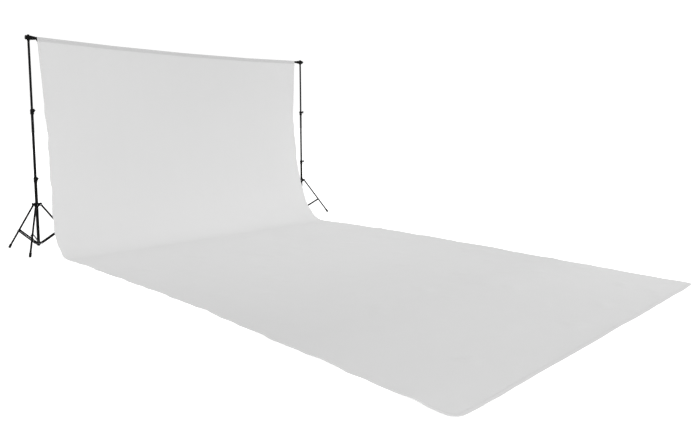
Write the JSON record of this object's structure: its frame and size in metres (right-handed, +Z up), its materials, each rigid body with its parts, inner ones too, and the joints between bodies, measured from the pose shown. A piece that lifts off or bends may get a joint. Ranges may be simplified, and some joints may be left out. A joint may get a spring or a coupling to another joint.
{
  "type": "background support system",
  "caption": "Backdrop frame: telescopic tripod stands hold a crossbar; a white cloth hangs from it, sweeps forward and runs out along the floor.",
  "frame": {"origin": "centre of the footprint box on the floor", "axes": "+Z up, -Y the way the cloth runs out along the floor, +X to the right for a viewer who faces the cloth"},
  "size_m": [3.4434, 4.7448, 1.877],
  "materials": {
    "black_tube": "satin black coating",
    "black_plastic": "moulded, matt",
    "black_rubber": "matt",
    "zinc_steel": "zinc plated",
    "white_cloth": "matt woven cotton"
  },
  "bodies": {
    "root": {"backdrop_floor": "white_cloth", "backdrop_sweep": "white_cloth", "backdrop_wall": "white_cloth", "left_base_tube": "black_tube", "left_base_plug": "black_plastic", "left_brace_hub": "black_plastic", "left_lower_collar": "black_plastic", "right_base_tube": "black_tube", "right_base_plug": "black_plastic", "right_brace_hub": "black_plastic", "right_lower_collar": "black_plastic"},
    "left_middle": {"left_middle_tube": "black_tube", "left_upper_collar": "black_plastic"},
    "left_upper": {"left_upper_tube": "black_tube", "left_stud": "zinc_steel", "crossbar_section_1": "black_tube", "crossbar_section_2": "black_tube", "crossbar_section_3": "black_tube", "crossbar_section_4": "black_tube", "left_bracket": "black_plastic", "right_bracket": "black_plastic", "backdrop_pocket": "white_cloth"},
    "left_leg_hub": {"left_leg_hub": "black_plastic"},
    "left_leg_hub_knob": {"left_leg_hub_knob": "black_plastic"},
    "left_lower_knob": {"left_lower_knob": "black_plastic"},
    "left_upper_knob": {"left_upper_knob": "black_plastic"},
    "left_thumb_nut": {"left_thumb_nut": "black_plastic"},
    "left_leg_1": {"left_leg_1": "black_tube", "left_foot_1": "black_rubber"},
    "left_brace_1": {"left_brace_1": "black_tube"},
    "left_leg_2": {"left_leg_2": "black_tube", "left_foot_2": "black_rubber"},
    "left_brace_2": {"left_brace_2": "black_tube"},
    "left_leg_3": {"left_leg_3": "black_tube", "left_foot_3": "black_rubber"},
    "left_brace_3": {"left_brace_3": "black_tube"},
    "right_middle": {"right_middle_tube": "black_tube", "right_upper_collar": "black_plastic"},
    "right_upper": {"right_upper_tube": "black_tube", "right_stud": "zinc_steel"},
    "right_leg_hub": {"right_leg_hub": "black_plastic"},
    "right_leg_hub_knob": {"right_leg_hub_knob": "black_plastic"},
    "right_lower_knob": {"right_lower_knob": "black_plastic"},
    "right_upper_knob": {"right_upper_knob": "black_plastic"},
    "right_thumb_nut": {"right_thumb_nut": "black_plastic"},
    "right_leg_1": {"right_leg_1": "black_tube", "right_foot_1": "black_rubber"},
    "right_brace_1": {"right_brace_1": "black_tube"},
    "right_leg_2": {"right_leg_2": "black_tube", "right_foot_2": "black_rubber"},
    "right_brace_2": {"right_brace_2": "black_tube"},
    "right_leg_3": {"right_leg_3": "black_tube", "right_foot_3": "black_rubber"},
    "right_brace_3": {"right_brace_3": "black_tube"},
    "snap_button_1": {"snap_button_1": "zinc_steel"},
    "snap_button_2": {"snap_button_2": "zinc_steel"},
    "snap_button_3": {"snap_button_3": "zinc_steel"}
  },
  "joints": [
    {"name": "left_middle_slide", "type": "slide", "parent": "root", "child": "left_middle", "axis": [0, 0, 1], "range_m": [-0.5, 0], "deforming": ["backdrop_wall"]},
    {"name": "left_upper_slide", "type": "slide", "parent": "left_middle", "child": "left_upper", "axis": [0, 0, 1], "range_m": [-0.5, 0], "deforming": ["backdrop_wall"]},
    {"name": "left_lower_knob_turn", "type": "hinge", "parent": "root", "child": "left_lower_knob", "pos_m": [-1.54781, 2.0476, 0.6325], "axis": [0.1736, -0.9848, 0], "range_deg": [0, 360]},
    {"name": "left_upper_knob_turn", "type": "hinge", "parent": "left_middle", "child": "left_upper_knob", "pos_m": [-1.54781, 2.0476, 1.2265], "axis": [0.1736, -0.9848, 0], "range_deg": [0, 360]},
    {"name": "left_leg_hub_slide", "type": "slide", "parent": "root", "child": "left_leg_hub", "axis": [0, 0, 1], "range_m": [0, 0.1567]},
    {"name": "left_leg_hub_knob_turn", "type": "hinge", "parent": "left_leg_hub", "child": "left_leg_hub_knob", "pos_m": [-1.54781, 2.0476, 0.403], "axis": [-0.9998, -0.0209, 0], "range_deg": [0, 360]},
    {"name": "left_leg_1_fold", "type": "hinge", "parent": "left_leg_hub", "child": "left_leg_1", "pos_m": [-1.5649, 2.07583, 0.403], "axis": [-0.8554, -0.518, 0], "range_deg": [0, 35.73]},
    {"name": "left_brace_1_fold", "type": "hinge", "parent": "root", "child": "left_brace_1", "pos_m": [-1.56024, 2.06813, 0.059], "axis": [0.8554, 0.518, 0], "range_deg": [0, 56.74]},
    {"name": "left_leg_2_fold", "type": "hinge", "parent": "left_leg_hub", "child": "left_leg_2", "pos_m": [-1.56371, 2.01868, 0.403], "axis": [0.8763, -0.4817, 0], "range_deg": [0, 35.73]},
    {"name": "left_brace_2_fold", "type": "hinge", "parent": "root", "child": "left_brace_2", "pos_m": [-1.55937, 2.02657, 0.059], "axis": [-0.8763, 0.4817, 0], "range_deg": [0, 56.74]},
    {"name": "left_leg_3_fold", "type": "hinge", "parent": "left_leg_hub", "child": "left_leg_3", "pos_m": [-1.51481, 2.04829, 0.403], "axis": [-0.0209, 0.9998, 0], "range_deg": [0, 35.73]},
    {"name": "left_brace_3_fold", "type": "hinge", "parent": "root", "child": "left_brace_3", "pos_m": [-1.52381, 2.0481, 0.059], "axis": [0.0209, -0.9998, 0], "range_deg": [0, 56.74]},
    {"name": "left_thumb_nut_turn", "type": "hinge", "parent": "left_upper", "child": "left_thumb_nut", "pos_m": [-1.54781, 2.0476, 1.873], "axis": [0, 0, 1], "range_deg": [0, 360]},
    {"name": "right_middle_slide", "type": "slide", "parent": "root", "child": "right_middle", "axis": [0, 0, 1], "range_m": [-0.5, 0], "deforming": ["backdrop_wall"]},
    {"name": "right_upper_slide", "type": "slide", "parent": "right_middle", "child": "right_upper", "axis": [0, 0, 1], "range_m": [-0.5, 0], "deforming": ["backdrop_wall"]},
    {"name": "right_lower_knob_turn", "type": "hinge", "parent": "root", "child": "right_lower_knob", "pos_m": [1.45219, 2.0476, 0.6325], "axis": [0.866, -0.5, 0], "range_deg": [0, 360]},
    {"name": "right_upper_knob_turn", "type": "hinge", "parent": "right_middle", "child": "right_upper_knob", "pos_m": [1.45219, 2.0476, 1.2265], "axis": [0.866, -0.5, 0], "range_deg": [0, 360]},
    {"name": "right_leg_hub_slide", "type": "slide", "parent": "root", "child": "right_leg_hub", "axis": [0, 0, 1], "range_m": [0, 0.1567]},
    {"name": "right_leg_hub_knob_turn", "type": "hinge", "parent": "right_leg_hub", "child": "right_leg_hub_knob", "pos_m": [1.45219, 2.0476, 0.403], "axis": [0.9048, 0.4258, 0], "range_deg": [0, 360]},
    {"name": "right_leg_1_fold", "type": "hinge", "parent": "right_leg_hub", "child": "right_leg_1", "pos_m": [1.47929, 2.02877, 0.403], "axis": [0.5707, 0.8212, 0], "range_deg": [0, 35.73]},
    {"name": "right_brace_1_fold", "type": "hinge", "parent": "root", "child": "right_brace_1", "pos_m": [1.4719, 2.0339, 0.059], "axis": [-0.5707, -0.8212, 0], "range_deg": [0, 56.74]},
    {"name": "right_leg_2_fold", "type": "hinge", "parent": "right_leg_hub", "child": "right_leg_2", "pos_m": [1.45495, 2.08048, 0.403], "axis": [-0.9965, 0.0837, 0], "range_deg": [0, 35.73]},
    {"name": "right_brace_2_fold", "type": "hinge", "parent": "root", "child": "right_brace_2", "pos_m": [1.4542, 2.07151, 0.059], "axis": [0.9965, -0.0837, 0], "range_deg": [0, 56.74]},
    {"name": "right_leg_3_fold", "type": "hinge", "parent": "right_leg_hub", "child": "right_leg_3", "pos_m": [1.42233, 2.03355, 0.403], "axis": [0.4258, -0.9048, 0], "range_deg": [0, 35.73]},
    {"name": "right_brace_3_fold", "type": "hinge", "parent": "root", "child": "right_brace_3", "pos_m": [1.43048, 2.03738, 0.059], "axis": [-0.4258, 0.9048, 0], "range_deg": [0, 56.74]},
    {"name": "right_thumb_nut_turn", "type": "hinge", "parent": "right_upper", "child": "right_thumb_nut", "pos_m": [1.45219, 2.0476, 1.845], "axis": [0, 0, 1], "range_deg": [0, 360]},
    {"name": "snap_button_1_press", "type": "slide", "parent": "left_upper", "child": "snap_button_1", "axis": [0, 0, -1], "range_m": [0, 0.002], "stiffness_N_per_m": 500, "springref_m": -0.002},
    {"name": "snap_button_2_press", "type": "slide", "parent": "left_upper", "child": "snap_button_2", "axis": [0, 0, -1], "range_m": [0, 0.002], "stiffness_N_per_m": 500, "springref_m": -0.002},
    {"name": "snap_button_3_press", "type": "slide", "parent": "left_upper", "child": "snap_button_3", "axis": [0, 0, -1], "range_m": [0, 0.002], "stiffness_N_per_m": 500, "springref_m": -0.002}
  ],
  "couplings": [
    {"joint": "left_leg_1_fold", "follows": "left_leg_hub_slide", "rad_per_m": 3.9797},
    {"joint": "left_brace_1_fold", "follows": "left_leg_hub_slide", "rad_per_m": 6.3201},
    {"joint": "left_leg_2_fold", "follows": "left_leg_hub_slide", "rad_per_m": 3.9797},
    {"joint": "left_brace_2_fold", "follows": "left_leg_hub_slide", "rad_per_m": 6.3201},
    {"joint": "left_leg_3_fold", "follows": "left_leg_hub_slide", "rad_per_m": 3.9797},
    {"joint": "left_brace_3_fold", "follows": "left_leg_hub_slide", "rad_per_m": 6.3201},
    {"joint": "right_leg_1_fold", "follows": "right_leg_hub_slide", "rad_per_m": 3.9797},
    {"joint": "right_brace_1_fold", "follows": "right_leg_hub_slide", "rad_per_m": 6.3201},
    {"joint": "right_leg_2_fold", "follows": "right_leg_hub_slide", "rad_per_m": 3.9797},
    {"joint": "right_brace_2_fold", "follows": "right_leg_hub_slide", "rad_per_m": 6.3201},
    {"joint": "right_leg_3_fold", "follows": "right_leg_hub_slide", "rad_per_m": 3.9797},
    {"joint": "right_brace_3_fold", "follows": "right_leg_hub_slide", "rad_per_m": 6.3201},
    {"joint": "right_middle_slide", "follows": "left_middle_slide", "ratio": 1},
    {"joint": "right_upper_slide", "follows": "left_upper_slide", "ratio": 1}
  ]
}
